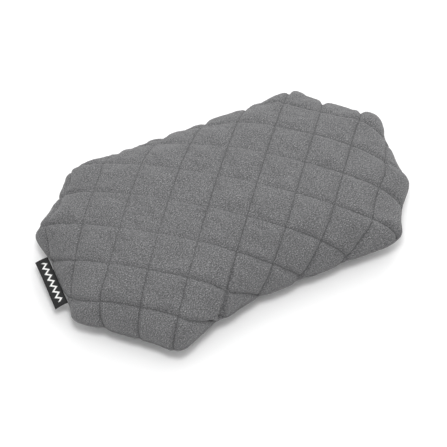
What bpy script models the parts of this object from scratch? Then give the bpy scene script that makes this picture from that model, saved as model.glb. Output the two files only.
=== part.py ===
"""An inflatable camp pillow: a welded air bladder with a flap valve, in a quilted, zipped fabric cover.

The pillow lies on its underside. +X runs along it, away from the end with the woven label,
+Y points at the long side with the zipper, and +Z is up. The origin is on the surface that it
rests on, under the crown of the quilted top.
"""

import math

import bmesh
import bpy
import numpy as np
from mathutils import Matrix, Vector

# ---------------------------------------------------------------- driving dimensions, in metres

# Plan of the perimeter seam: the corners of a waisted octagon, anticlockwise from the zipped side.
CORNERS = [
    (0.190, 0.169),  # zipped side, far end
    (-0.184, 0.169),  # zipped side, label end
    (-0.272, 0.085),
    (-0.275, -0.078),
    (-0.160, -0.191),
    (-0.066, -0.155),  # the waist of the near side
    (0.222, -0.143),
    (0.275, -0.058),
    (0.290, 0.072),
]
CORNER_REACH = 0.030  # how far each corner's round reaches along its two sides
HEIGHT = 0.104  # crown of the quilted top
SEAM_HEIGHT = 0.030  # the perimeter seam, above the floor
BASE_SHARE = 0.84  # the underside's wall would meet the floor at this share of the plan
REST_SHARE = 0.76  # inside this share the underside lies flat
PLAN_POWER = 0.966  # roundness of the top in plan and in height: 1 is an ellipse
RISE_POWER = 0.896

SIDE_STEP = 0.035  # mesh of every shell, along the plan's sides and from seam to crown
RINGS = 6

CLEARANCE = 0.0003  # between pieces that touch
FACE_FABRIC = 0.0008
BATTING = 0.0040
LINING = 0.0005
UNDERSIDE_FABRIC = 0.0010
SEAM_RADIUS = 0.0012
RIM_GAP = SEAM_RADIUS + CLEARANCE  # from the seam's centre to each panel's edge

# Air bladder
BLADDER_SHEET = 0.0004
BLADDER_CROWN_GAP = 0.0006  # under the quilt's lining
BLADDER_BASE = 0.0020  # inner face of the lower sheet, above the floor
WELD_OUTER_SHARE = 0.946  # the welded flange, as shares of the plan
WELD_INNER_SHARE = 0.924
BAFFLE_OFFSET = 0.055  # the two baffles stand either side of the middle
BAFFLE_LENGTH = 0.380
BAFFLE_SHEET = 0.0004

# Woven label and care label, sewn into the seam of the label end
LABEL_LENGTH = 0.086
LABEL_REACH = 0.021
LABEL_RIBBON = 0.0006
LABEL_FOLD_GAP = 0.0006
LABEL_ALONG = -0.0045  # its middle, along the end from the end's own middle
CARE_LABEL_WIDTH = 0.024
CARE_LABEL_LENGTH = 0.026
CARE_LABEL_SHEET = 0.0003

# Zipper, in the sloping wall of the zipped side
ZIP_DROP = 0.0110  # down the wall from the seam to the zipper's centre line
ZIP_START = -0.1150  # its closed chain, along X
ZIP_END = 0.1400
ZIP_SLOT_WIDTH = 0.0090
TAPE_WIDTH = 0.0076  # each side
TAPE_SHEET = 0.0005
COIL_WIDTH = 0.0016  # each side
COIL_HEIGHT = 0.0016
COIL_SPLIT = 0.0018  # between the two rows, where the slider's wedge passes
STOP_LENGTH = 0.0024
SLIDER_LENGTH = 0.0090
SLIDER_WIDTH = 0.0072
SLIDER_PLATE = 0.0011
WEDGE_WIDTH = 0.0012
WEDGE_LENGTH = 0.0030
BAIL_RADIUS = 0.0005
BAIL_RISE = 0.0029  # from the plate to the middle of the bail's crest
BAIL_CREST = 0.0036
PULL_LENGTH = 0.0150
PULL_WIDTH = 0.0046
PULL_SHEET = 0.0012
PULL_EYE_LENGTH = 0.0024
PULL_EYE_WALL = 0.0007

# Valve, in the sloping wall of the far end
VALVE_DROP = 0.0305  # down the wall from the seam to the valve's axis
NECK_RADIUS = 0.0080
NECK_BORE = 0.0062
NECK_TOP = 0.0026  # outside the cover's surface
NECK_TAIL = 0.0018  # inside the bladder
FLANGE_RADIUS = 0.0128
FLANGE_SHEET = 0.0010
SEAT_RADIUS = 0.0048  # opening of the ledge that the flap closes
SEAT_BAR = 0.0012
SEAT_DEPTH = 0.0070  # from the cover's surface to the seat's outer side
FLAP_SHEET = 0.0008
FLAP_RADIUS = 0.0055
EYELET_RADIUS = 0.0125
EYELET_SHEET = 0.0009
EYELET_WALL = 0.0012
COLLAR_SHEET = 0.0008
COLLAR_WALL = 0.0018
CAP_RADIUS = 0.0095
CAP_SHEET = 0.0010
PLUG_DEPTH = 0.0044
PLUG_TAPER = 0.0010
CAP_HINGE_REACH = 0.0125  # from the valve's axis to the strap's hinge line
STRAP_WIDTH = 0.0050
STRAP_STUB = 0.0013
CAP_TAB_REACH = 0.0130
ROUND_STEPS = 24

# ---------------------------------------------------------------- worked out from them


def rounded_plan():
    """Points round the seam, anticlockwise: each corner is a quadratic curve between points on
    its two sides, in three points, and the straight between two corners is cut in equal steps."""
    corners = [Vector(c) for c in CORNERS]
    points = []
    for before, corner, after in zip(corners[-1:] + corners[:-1], corners, corners[1:] + corners[:1]):
        start = corner + (before - corner).normalized() * CORNER_REACH
        end = corner + (after - corner).normalized() * CORNER_REACH
        points += [start, (start + 2 * corner + end) / 4, end]
        next_start = after + (corner - after).normalized() * CORNER_REACH
        steps = max(1, round((next_start - end).length / SIDE_STEP))
        points += [end.lerp(next_start, t / steps) for t in range(1, steps)]
    return points


PLAN = rounded_plan()
SPOKES = len(PLAN)


def wall_height(share):
    """Height of the underside's sloping wall at a share of the plan."""
    return SEAM_HEIGHT * (share - BASE_SHARE) / (1 - BASE_SHARE)


def wall_frame(first, second, along, drop):
    """A frame on the sloping wall under one straight side of the plan.

    Its X runs along the side, its Y down the wall and its Z out of it. It stands drop below the
    seam, and along from the middle of the side.
    """
    a, b = Vector(CORNERS[first]), Vector(CORNERS[second])
    side = (b - a).normalized()
    outward = Vector((side.y, -side.x))
    if outward.dot(a) < 0:
        outward.negate()
    run = outward.dot(a) * (1 - BASE_SHARE)
    down = Vector((-outward.x * run, -outward.y * run, -SEAM_HEIGHT)).normalized()
    middle = (a + b) / 2 + side * along
    normal = Vector((outward.x, outward.y, 0)) - down * down.dot(Vector((outward.x, outward.y, 0)))
    normal.normalize()
    across = down.cross(normal)
    origin = Vector((middle.x, middle.y, SEAM_HEIGHT)) + down * drop
    frame = Matrix((across, down, normal)).transposed().to_4x4()
    frame.translation = origin
    return frame


QUILT = FACE_FABRIC + BATTING + LINING + 2 * CLEARANCE
BATTING_DEPTH = FACE_FABRIC + CLEARANCE
LINING_DEPTH = BATTING_DEPTH + BATTING + CLEARANCE
BLADDER_CROWN = HEIGHT - QUILT - BLADDER_CROWN_GAP - BLADDER_SHEET

ZIP_MIDDLE = (CORNERS[0][0] + CORNERS[1][0]) / 2
ZIP_FRAME = wall_frame(1, 0, 0, ZIP_DROP)
TAPE_FACE = -UNDERSIDE_FABRIC - CLEARANCE  # the tape lies inside the wall
COIL_FOOT = TAPE_FACE + CLEARANCE
COIL_TOP = COIL_FOOT + COIL_HEIGHT
TOP_PLATE_FOOT = COIL_TOP + CLEARANCE
TOP_PLATE_TOP = TOP_PLATE_FOOT + SLIDER_PLATE
LOW_PLATE_TOP = TAPE_FACE - TAPE_SHEET - CLEARANCE
BAIL_CENTRE = TOP_PLATE_TOP + BAIL_RISE
SLIDER_AT = ZIP_END - SLIDER_LENGTH / 2 - CLEARANCE - ZIP_MIDDLE  # closed, against the stops

VALVE_FRAME = wall_frame(7, 8, 0, VALVE_DROP)


def bladder_wall_gap():
    """From the cover's outer face to the bladder's, along the valve's axis."""
    a, b = Vector(CORNERS[7]), Vector(CORNERS[8])
    side = (b - a).normalized()
    support = abs(Vector((side.y, -side.x)).dot(a))
    slope = math.atan2(SEAM_HEIGHT, support * (1 - BASE_SHARE))
    return (1 - WELD_INNER_SHARE) * support * math.sin(slope)


SHEET_FACE = BLADDER_SHEET - bladder_wall_gap()
FLANGE_FOOT = SHEET_FACE + CLEARANCE
COLLAR_FOOT = CLEARANCE + EYELET_SHEET + CLEARANCE
COLLAR_TOP = COLLAR_FOOT + COLLAR_SHEET
CAP_FOOT = NECK_TOP + CLEARANCE
CAP_TOP = CAP_FOOT + CAP_SHEET
EYELET_BORE = NECK_RADIUS + CLEARANCE
EYELET_BARREL = EYELET_BORE + EYELET_WALL
PORT_RADIUS = EYELET_BARREL + CLEARANCE

# ---------------------------------------------------------------- scene and small helpers

for old in list(bpy.data.objects):
    bpy.data.objects.remove(old)

PARTS = bpy.data.collections.new("camp_pillow")
CUTTERS = bpy.data.collections.new("cutters")
bpy.context.scene.collection.children.link(PARTS)
bpy.context.scene.collection.children.link(CUTTERS)


def finish(name, colour, roughness, metallic=0.0):
    """A Principled material."""
    material = bpy.data.materials.new(name)
    material.use_nodes = True
    shader = material.node_tree.nodes["Principled BSDF"]
    shader.inputs["Base Color"].default_value = (*colour, 1)
    shader.inputs["Roughness"].default_value = roughness
    shader.inputs["Metallic"].default_value = metallic
    return material


HEATHER = finish("heather_grey_knit", (0.20, 0.20, 0.20), 0.95)
PLAIN = finish("plain_grey_polyester", (0.17, 0.17, 0.17), 0.85)
WADDING = finish("polyester_wadding", (0.80, 0.80, 0.78), 1.0)
SCRIM = finish("lining_scrim", (0.35, 0.35, 0.35), 0.9)
THREAD = finish("seam_thread", (0.13, 0.13, 0.13), 0.8)
RIBBON = finish("black_woven_ribbon", (0.01, 0.01, 0.01), 0.6)
SATIN = finish("white_care_satin", (0.85, 0.85, 0.85), 0.5)
TAPE = finish("zipper_tape", (0.05, 0.05, 0.05), 0.85)
NYLON = finish("nylon_coil", (0.04, 0.04, 0.04), 0.4)
ENAMEL = finish("enamelled_zinc", (0.03, 0.03, 0.03), 0.35, 0.6)
AIRTIGHT = finish("coated_polyester", (0.23, 0.24, 0.25), 0.55)
VALVE_PLASTIC = finish("valve_tpu", (0.07, 0.07, 0.08), 0.45)
SILICONE = finish("valve_silicone", (0.75, 0.75, 0.72), 0.5)


def place(obj, parent=None, location=(0, 0, 0), material=None, cutter=False):
    """Moves an object to its collection, parents it and gives it its finish."""
    for collection in list(obj.users_collection):
        collection.objects.unlink(obj)
    (CUTTERS if cutter else PARTS).objects.link(obj)
    obj.parent = parent
    obj.location = location
    if material:
        obj.data.materials.append(material)
    if cutter:
        obj.hide_render = True
        obj.display_type = "WIRE"
    return obj


def frame_empty(name, matrix, parent=None):
    empty = bpy.data.objects.new(name, None)
    PARTS.objects.link(empty)
    empty.parent = parent
    empty.matrix_local = matrix
    return empty


def block(name, size, centre, parent, material=None, cutter=False, edge=0.0):
    """A box, with its edges rounded by edge."""
    bpy.ops.mesh.primitive_cube_add(size=1)
    obj = bpy.context.object
    obj.name = name
    obj.data.transform(Matrix.Diagonal((*size, 1)))
    if edge:
        bevel = obj.modifiers.new("round", "BEVEL")
        bevel.width = edge
        bevel.segments = 2
    return place(obj, parent, centre, material, cutter)


def rod(name, radius, length, centre, parent, rotation=(0, 0, 0), material=None, cutter=False):
    """A cylinder along its own Z."""
    bpy.ops.mesh.primitive_cylinder_add(vertices=ROUND_STEPS, radius=radius, depth=length)
    obj = bpy.context.object
    obj.name = name
    obj.rotation_euler = rotation
    return place(obj, parent, centre, material, cutter)


def turned(name, profile, parent, material, closed=True):
    """A profile of (radius, height) points turned about the frame's Z."""
    mesh = bpy.data.meshes.new(name)
    edges = [(i, i + 1) for i in range(len(profile) - 1)]
    if closed:
        edges.append((len(profile) - 1, 0))
    mesh.from_pydata([(r, 0, z) for r, z in profile], edges, [])
    obj = bpy.data.objects.new(name, mesh)
    screw = obj.modifiers.new("turn", "SCREW")
    screw.steps = screw.render_steps = ROUND_STEPS
    screw.use_merge_vertices = True
    screw.merge_threshold = 0.00001
    return place(obj, parent, material=material)


def boolean(obj, other, operation):
    modifier = obj.modifiers.new(operation.lower(), "BOOLEAN")
    modifier.operation = operation
    modifier.object = other
    modifier.solver = "EXACT"
    return modifier


# ---------------------------------------------------------------- shells over the plan


def half_ball(name, rings, material, under=False, whole=None):
    """Half a ball whose rings are spread over the plan: ring k goes to rings[k], (share, height)."""
    bm = bmesh.new()
    bmesh.ops.create_uvsphere(bm, u_segments=SPOKES, v_segments=2 * RINGS, radius=1)
    if whole is None:
        away = [v for v in bm.verts if (v.co.z > 1e-6 if under else v.co.z < -1e-6)]
        bmesh.ops.delete(bm, geom=away, context="VERTS")
    for v in bm.verts:
        k = round(abs(math.asin(max(-1, min(1, v.co.z)))) / (math.pi / 2) * RINGS)
        share, height = (whole if whole and v.co.z < -1e-6 else rings)[k]
        spoke = round(math.atan2(v.co.y, v.co.x) / (2 * math.pi) * SPOKES) % SPOKES
        v.co = (share * PLAN[spoke].x, share * PLAN[spoke].y, height)
    mesh = bpy.data.meshes.new(name)
    bm.to_mesh(mesh)
    bm.free()
    mesh.shade_smooth()
    obj = bpy.data.objects.new(name, mesh)
    return place(obj, material=material, cutter=material is None)


def thicken(obj, thickness, depth=0.0):
    """Makes a wall inwards from depth under the surface."""
    if depth:
        inset = obj.modifiers.new("inset", "DISPLACE")
        inset.strength = -depth
        inset.mid_level = 0
    wall = obj.modifiers.new("wall", "SOLIDIFY")
    wall.thickness = thickness
    wall.offset = -1
    wall.use_quality_normals = True
    return obj


def dome_rings(share, low, crown, first=0):
    """(share, height) from the seam to the crown: a rounded section between an ellipse and a box."""
    rings = []
    for k in range(first, RINGS + 1):
        turn = (k - first) / (RINGS - first) * math.pi / 2
        rings.append((share * math.cos(turn) ** PLAN_POWER, low + (crown - low) * math.sin(turn) ** RISE_POWER))
    rings[-1] = (0.0, crown)
    return rings


def lifted_edge(rings, height):
    return [(rings[0][0], height)] + rings[1:]


TOP_RINGS = lifted_edge(dome_rings(1.0, SEAM_HEIGHT, HEIGHT), SEAM_HEIGHT + RIM_GAP)
UNDER_RINGS = [
    (wall_share, wall_height(wall_share))
    for wall_share in (1 - RIM_GAP / SEAM_HEIGHT * (1 - BASE_SHARE), 0.92, BASE_SHARE + 0.022)
] + [((BASE_SHARE + 0.022 + REST_SHARE) / 2, 0.0010), (REST_SHARE, 0.0), (REST_SHARE / 2, 0.0), (0.0, 0.0)]


def bladder_rings(side):
    """The bladder's upper (side 1) or lower (side -1) sheet: weld flange, then the bulge."""
    middle = SEAM_HEIGHT + side * CLEARANCE / 2
    flange = [(WELD_OUTER_SHARE, middle)]
    if side > 0:
        return flange + dome_rings(WELD_INNER_SHARE, middle, BLADDER_CROWN, first=1)
    wall = [(WELD_INNER_SHARE, middle)] + [
        (share, SEAM_HEIGHT * (1 - (WELD_INNER_SHARE - share) / (1 - BASE_SHARE))) for share in (0.86, 0.80)
    ]
    return flange + wall + [(share, BLADDER_BASE) for share in (REST_SHARE, REST_SHARE / 2, 0.0)]


# ---------------------------------------------------------------- quilted cover

cover_top_face = thicken(half_ball("cover_top_face", TOP_RINGS, HEATHER), FACE_FABRIC)
quilt_batting = thicken(half_ball("quilt_batting", TOP_RINGS, WADDING), BATTING, BATTING_DEPTH)
quilt_lining = thicken(half_ball("quilt_lining", TOP_RINGS, SCRIM), LINING, LINING_DEPTH)
cover_underside = thicken(half_ball("cover_underside", UNDER_RINGS, PLAIN, under=True), UNDERSIDE_FABRIC)

zip_frame = frame_empty("zipper_frame", ZIP_FRAME)
valve_frame = frame_empty("valve_frame", VALVE_FRAME)

CUT_DEPTH = 0.006
chain_length = ZIP_END - ZIP_START
chain_middle = (ZIP_START + ZIP_END) / 2 - ZIP_MIDDLE
slot_length = chain_length + 2 * STOP_LENGTH + 4 * CLEARANCE
slot = block("slot_cutter", (slot_length, ZIP_SLOT_WIDTH, CUT_DEPTH), (chain_middle, 0, 0), zip_frame, cutter=True)
port = rod("port_cutter", PORT_RADIUS, CUT_DEPTH, (0, 0, 0), valve_frame, cutter=True)
boolean(cover_underside, slot, "DIFFERENCE")
boolean(cover_underside, port, "DIFFERENCE")


def perimeter_seam():
    """The sewn edge where the quilted top meets the underside, a thin roll round the whole plan."""
    curve = bpy.data.curves.new("perimeter_seam", "CURVE")
    curve.dimensions = "3D"
    curve.bevel_depth = SEAM_RADIUS
    curve.bevel_resolution = 1
    spline = curve.splines.new("POLY")
    spline.points.add(SPOKES - 1)
    for point, corner in zip(spline.points, PLAN):
        point.co = (corner.x, corner.y, SEAM_HEIGHT, 1)
    spline.use_cyclic_u = True
    return place(bpy.data.objects.new("perimeter_seam", curve), material=THREAD)


perimeter_seam()


def label_frame():
    """At the seam of the label end: X out of the end, Y along it, Z up."""
    a, b = Vector(CORNERS[3]), Vector(CORNERS[2])
    side = (b - a).normalized()
    outward = Vector((-side.y, side.x))
    middle = (a + b) / 2 + side * LABEL_ALONG
    frame = Matrix(((outward.x, side.x, 0), (outward.y, side.y, 0), (0, 0, 1))).to_4x4()
    if frame.to_3x3().determinant() < 0:
        frame.col[1] = -frame.col[1]
    frame.translation = Vector((middle.x, middle.y, SEAM_HEIGHT))
    return frame_empty("label_frame", frame)


def woven_label(parent):
    """A ribbon folded in two: a U in section, its fold outwards and its cut ends in the seam."""
    outer = LABEL_RIBBON + LABEL_FOLD_GAP / 2
    inner = LABEL_FOLD_GAP / 2
    foot = SEAM_RADIUS + CLEARANCE
    middle = foot + LABEL_REACH - outer
    turns = np.linspace(math.pi / 2, -math.pi / 2, 7)
    ring = [(foot, outer)] + [(middle + outer * math.cos(t), outer * math.sin(t)) for t in turns]
    ring += [(foot, -outer), (foot, -inner)]
    ring += [(middle + inner * math.cos(t), inner * math.sin(t)) for t in turns[::-1]] + [(foot, inner)]
    curve = bpy.data.curves.new("woven_label", "CURVE")
    curve.dimensions = "2D"
    curve.fill_mode = "BOTH"
    curve.extrude = LABEL_LENGTH / 2
    spline = curve.splines.new("POLY")
    spline.points.add(len(ring) - 1)
    for point, (x, y) in zip(spline.points, ring):
        point.co = (x, y, 0, 1)
    spline.use_cyclic_u = True
    obj = place(bpy.data.objects.new("woven_label", curve), parent, material=RIBBON)
    obj.rotation_euler = (math.pi / 2, 0, 0)
    return obj


label_end = label_frame()
woven_label(label_end)

care_frame = frame_empty("care_label_frame", wall_frame(2, 3, 0, 0))
block(
    "care_label",
    (CARE_LABEL_WIDTH, CARE_LABEL_LENGTH, CARE_LABEL_SHEET),
    (0, CARE_LABEL_LENGTH / 2 + 0.004, -UNDERSIDE_FABRIC - CLEARANCE - CARE_LABEL_SHEET / 2),
    care_frame,
    SATIN,
)

# ---------------------------------------------------------------- zipper

for side, word in ((-1, "upper"), (1, "lower")):
    block(
        f"zipper_tape_{word}",
        (slot_length + 0.008, TAPE_WIDTH, TAPE_SHEET),
        (chain_middle, side * (COIL_SPLIT + TAPE_WIDTH) / 2, TAPE_FACE - TAPE_SHEET / 2),
        zip_frame,
        TAPE,
    )
    block(
        f"zipper_coil_{word}",
        (chain_length, COIL_WIDTH, COIL_HEIGHT),
        (chain_middle, side * (COIL_SPLIT + COIL_WIDTH) / 2, COIL_FOOT + COIL_HEIGHT / 2),
        zip_frame,
        NYLON,
        edge=0.0004,
    )
    block(
        f"zipper_top_stop_{word}",
        (STOP_LENGTH, COIL_WIDTH + 0.0004, COIL_HEIGHT),
        (
            ZIP_END - ZIP_MIDDLE + CLEARANCE + STOP_LENGTH / 2,
            side * (COIL_SPLIT + COIL_WIDTH) / 2,
            COIL_FOOT + COIL_HEIGHT / 2,
        ),
        zip_frame,
        ENAMEL,
        edge=0.0003,
    )
block(
    "zipper_bottom_stop",
    (STOP_LENGTH, COIL_SPLIT + 2 * COIL_WIDTH, COIL_HEIGHT),
    (ZIP_START - ZIP_MIDDLE - CLEARANCE - STOP_LENGTH / 2, 0, COIL_FOOT + COIL_HEIGHT / 2),
    zip_frame,
    ENAMEL,
    edge=0.0003,
)


def bail():
    """The slider's bridge: a bent wire along the travel, for the pull to hang on."""
    reach = BAIL_CREST / 2 + BAIL_RISE * 0.45
    sink = SLIDER_PLATE / 2
    path = [
        (-reach, TOP_PLATE_TOP - sink),
        (-reach, TOP_PLATE_TOP + BAIL_RISE * 0.45),
        (-BAIL_CREST / 2, BAIL_CENTRE),
        (BAIL_CREST / 2, BAIL_CENTRE),
        (reach, TOP_PLATE_TOP + BAIL_RISE * 0.45),
        (reach, TOP_PLATE_TOP - sink),
    ]
    curve = bpy.data.curves.new("bail_wire", "CURVE")
    curve.dimensions = "3D"
    curve.bevel_depth = BAIL_RADIUS
    curve.bevel_resolution = 1
    curve.use_fill_caps = True
    spline = curve.splines.new("POLY")
    spline.points.add(len(path) - 1)
    for point, (x, z) in zip(spline.points, path):
        point.co = (x, 0, z, 1)
    wire = bpy.data.objects.new("bail_wire", curve)
    bpy.context.scene.collection.objects.link(wire)
    bpy.context.view_layer.update()
    mesh = bpy.data.meshes.new_from_object(wire.evaluated_get(bpy.context.evaluated_depsgraph_get()))
    bpy.data.objects.remove(wire)
    bm = bmesh.new()
    bm.from_mesh(mesh)
    bmesh.ops.remove_doubles(bm, verts=bm.verts, dist=1e-6)
    bm.to_mesh(mesh)
    bm.free()
    return place(bpy.data.objects.new("bail", mesh), zip_frame, (SLIDER_AT, 0, 0), cutter=True)


slider = block(
    "zipper_slider",
    (SLIDER_LENGTH, SLIDER_WIDTH, SLIDER_PLATE),
    (SLIDER_AT, 0, TOP_PLATE_FOOT + SLIDER_PLATE / 2),
    zip_frame,
    ENAMEL,
    edge=0.0003,
)
low_plate = block(
    "slider_low_plate",
    (SLIDER_LENGTH, SLIDER_WIDTH, SLIDER_PLATE),
    (SLIDER_AT, 0, LOW_PLATE_TOP - SLIDER_PLATE / 2),
    zip_frame,
    cutter=True,
    edge=0.0003,
)
wedge_span = TOP_PLATE_FOOT - LOW_PLATE_TOP + SLIDER_PLATE
wedge = block(
    "slider_wedge",
    (WEDGE_LENGTH, WEDGE_WIDTH, wedge_span),
    (SLIDER_AT + SLIDER_LENGTH / 2 - WEDGE_LENGTH / 2 - 0.0008, 0, (TOP_PLATE_FOOT + LOW_PLATE_TOP) / 2),
    zip_frame,
    cutter=True,
)
boolean(slider, wedge, "UNION")
boolean(slider, low_plate, "UNION")
boolean(slider, bail(), "UNION")

# The pull's frame stands on the bail's crest: X along the zipper, Z up, so the pull hangs down.
pull_matrix = Matrix.Translation(ZIP_FRAME @ Vector((SLIDER_AT, 0, BAIL_CENTRE)))
pull_pivot = frame_empty("pull_pivot", pull_matrix)
eye_bore = BAIL_RADIUS + 2 * CLEARANCE
eye_radius = eye_bore + PULL_EYE_WALL
eye_centre = -CLEARANCE  # the pull hangs, so the crest lies high in the eye
zipper_pull = rod(
    "zipper_pull",
    eye_radius,
    PULL_EYE_LENGTH,
    (0, 0, eye_centre),
    pull_pivot,
    (0, math.pi / 2, 0),
    ENAMEL,
)
pull_top = eye_centre - eye_bore - PULL_EYE_WALL / 2
tab = block(
    "pull_tab",
    (PULL_WIDTH, PULL_SHEET, PULL_LENGTH - eye_radius),
    (0, 0, pull_top - (PULL_LENGTH - eye_radius) / 2),
    pull_pivot,
    cutter=True,
    edge=0.0004,
)
eye_hole = rod(
    "pull_eye_cutter",
    eye_bore,
    PULL_EYE_LENGTH * 3,
    (0, 0, eye_centre),
    pull_pivot,
    (0, math.pi / 2, 0),
    cutter=True,
)
boolean(zipper_pull, tab, "UNION")
boolean(zipper_pull, eye_hole, "DIFFERENCE")

# ---------------------------------------------------------------- air bladder

bladder_top_sheet = thicken(half_ball("bladder_top_sheet", bladder_rings(1), AIRTIGHT), BLADDER_SHEET)
bladder_top_sheet.modifiers["wall"].offset = 1
bladder_bottom_sheet = thicken(
    half_ball("bladder_bottom_sheet", bladder_rings(-1), AIRTIGHT, under=True), BLADDER_SHEET
)
bladder_bottom_sheet.modifiers["wall"].offset = 1
neck_hole = rod("neck_cutter", NECK_RADIUS + CLEARANCE, CUT_DEPTH, (0, 0, SHEET_FACE), valve_frame, cutter=True)
boolean(bladder_bottom_sheet, neck_hole, "DIFFERENCE")

# The room between the sheets, less a clearance, trims the baffles to their shape.
AIR_TRIM = 2 * CLEARANCE
over = bladder_rings(1)
over = [(over[2][0], SEAM_HEIGHT), (over[2][0], (SEAM_HEIGHT + over[2][1]) / 2)] + [
    (0.996 * share, height - AIR_TRIM) for share, height in over[2:]
]
under = [(REST_SHARE * (RINGS - k) / (RINGS - 1), BLADDER_BASE + AIR_TRIM) for k in range(RINGS + 1)]
air_room = half_ball("air_room", over, None, whole=under)

for side, word in ((-1, "near"), (1, "far")):
    baffle = block(
        f"baffle_{word}",
        (BAFFLE_LENGTH, BAFFLE_SHEET, 2 * HEIGHT),
        (0, side * BAFFLE_OFFSET, 0),
        None,
        AIRTIGHT,
    )
    boolean(baffle, air_room, "INTERSECT")

# ---------------------------------------------------------------- valve

neck_foot = SHEET_FACE - BLADDER_SHEET - NECK_TAIL
valve_body = turned(
    "valve_body",
    [
        (NECK_RADIUS, NECK_TOP),
        (NECK_RADIUS, FLANGE_FOOT + FLANGE_SHEET),
        (FLANGE_RADIUS, FLANGE_FOOT + FLANGE_SHEET),
        (FLANGE_RADIUS, FLANGE_FOOT),
        (NECK_RADIUS, FLANGE_FOOT),
        (NECK_RADIUS, neck_foot),
        (NECK_BORE, neck_foot),
        (NECK_BORE, -SEAT_DEPTH - SEAT_BAR),
        (SEAT_RADIUS, -SEAT_DEPTH - SEAT_BAR),
        (SEAT_RADIUS, -SEAT_DEPTH),
        (NECK_BORE, -SEAT_DEPTH),
        (NECK_BORE, NECK_TOP),
    ],
    valve_frame,
    VALVE_PLASTIC,
)
for turn in (0, math.pi / 2):
    bar = block(
        "seat_bar",
        (2 * SEAT_RADIUS + 0.001, SEAT_BAR, SEAT_BAR),
        (0, 0, -SEAT_DEPTH - SEAT_BAR / 2),
        valve_frame,
        cutter=True,
    )
    bar.rotation_euler = (0, 0, turn)
    boolean(valve_body, bar, "UNION")

turned(
    "valve_port_eyelet",
    [
        (EYELET_RADIUS, CLEARANCE + EYELET_SHEET),
        (EYELET_RADIUS, CLEARANCE),
        (EYELET_BARREL, CLEARANCE),
        (EYELET_BARREL, -UNDERSIDE_FABRIC - CLEARANCE),
        (EYELET_RADIUS, -UNDERSIDE_FABRIC - CLEARANCE),
        (EYELET_RADIUS, -UNDERSIDE_FABRIC - CLEARANCE - EYELET_SHEET),
        (EYELET_BORE, -UNDERSIDE_FABRIC - CLEARANCE - EYELET_SHEET),
        (EYELET_BORE, CLEARANCE + EYELET_SHEET),
    ],
    valve_frame,
    VALVE_PLASTIC,
)

# The cap's retaining collar is a ring round the neck, with a strap stub to the hinge line.
hinge_half_gap = CLEARANCE / 2
valve_collar = turned(
    "valve_collar",
    [
        (EYELET_BORE + COLLAR_WALL, COLLAR_TOP),
        (EYELET_BORE + COLLAR_WALL, COLLAR_FOOT),
        (EYELET_BORE, COLLAR_FOOT),
        (EYELET_BORE, COLLAR_TOP),
    ],
    valve_frame,
    VALVE_PLASTIC,
)
stub_inner = EYELET_BORE + COLLAR_WALL / 2
stub_outer = CAP_HINGE_REACH + hinge_half_gap + STRAP_STUB
stub = block(
    "strap_stub",
    (STRAP_WIDTH, stub_outer - stub_inner, COLLAR_SHEET),
    (0, -(stub_inner + stub_outer) / 2, (COLLAR_FOOT + COLLAR_TOP) / 2),
    valve_frame,
    cutter=True,
)
post = block(
    "strap_post",
    (STRAP_WIDTH, STRAP_STUB, CAP_TOP - COLLAR_FOOT),
    (0, -(CAP_HINGE_REACH + hinge_half_gap + STRAP_STUB / 2), (CAP_TOP + COLLAR_FOOT) / 2),
    valve_frame,
    cutter=True,
)
boolean(valve_collar, stub, "UNION")
boolean(valve_collar, post, "UNION")

# The cap's own frame stands on the hinge line, at the strap's outer face.
cap_pivot = frame_empty("cap_pivot", Matrix.Translation((0, -CAP_HINGE_REACH, CAP_TOP)), valve_frame)
cap_centre = frame_empty("cap_centre", Matrix.Translation((0, CAP_HINGE_REACH, -CAP_TOP)), cap_pivot)
valve_cap = turned(
    "valve_cap",
    [
        (0.0, CAP_TOP),
        (CAP_RADIUS, CAP_TOP),
        (CAP_RADIUS, CAP_FOOT),
        (NECK_BORE - CLEARANCE, CAP_FOOT),
        (NECK_BORE - CLEARANCE - PLUG_TAPER, CAP_FOOT - PLUG_DEPTH),
        (0.0, CAP_FOOT - PLUG_DEPTH),
    ],
    cap_centre,
    VALVE_PLASTIC,
    closed=False,
)
arm = block(
    "cap_strap",
    (STRAP_WIDTH, CAP_HINGE_REACH - hinge_half_gap - CAP_RADIUS * 0.8, CAP_SHEET),
    (0, -(CAP_HINGE_REACH - hinge_half_gap + CAP_RADIUS * 0.8) / 2, (CAP_TOP + CAP_FOOT) / 2),
    cap_centre,
    cutter=True,
)
lift_tab = block(
    "cap_lift_tab",
    (STRAP_WIDTH * 1.2, CAP_TAB_REACH - CAP_RADIUS * 0.8, CAP_SHEET),
    (0, (CAP_TAB_REACH + CAP_RADIUS * 0.8) / 2, (CAP_TOP + CAP_FOOT) / 2),
    cap_centre,
    cutter=True,
)
boolean(valve_cap, arm, "UNION")
boolean(valve_cap, lift_tab, "UNION")

# The one-way flap lies against the inner side of the seat, hinged at its upper edge.
flap_top = -SEAT_DEPTH - SEAT_BAR - CLEARANCE
flap_pivot = frame_empty("flap_pivot", Matrix.Translation((0, -FLAP_RADIUS, flap_top)), valve_frame)
rod(
    "valve_flap",
    FLAP_RADIUS,
    FLAP_SHEET,
    (0, FLAP_RADIUS, -FLAP_SHEET / 2),
    flap_pivot,
    material=SILICONE,
)
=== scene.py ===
# %% [markdown]
# # An inflatable camp pillow
# The real pillow is an air bladder in a zipped cover. The cover's top is quilted in squares and its
# underside is plain. This lesson builds what the eye sees of it around a fixed frame of exact
# parts: fabric worked out as surfaces, puffed by a cloth simulation, then stitched and coloured.

# %% The frame
import math
from contextlib import contextmanager

import bmesh
import bpy
import numpy as np
from mathutils import Matrix, Vector
from mathutils.bvhtree import BVHTree
from mathutils.geometry import delaunay_2d_cdt


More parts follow.
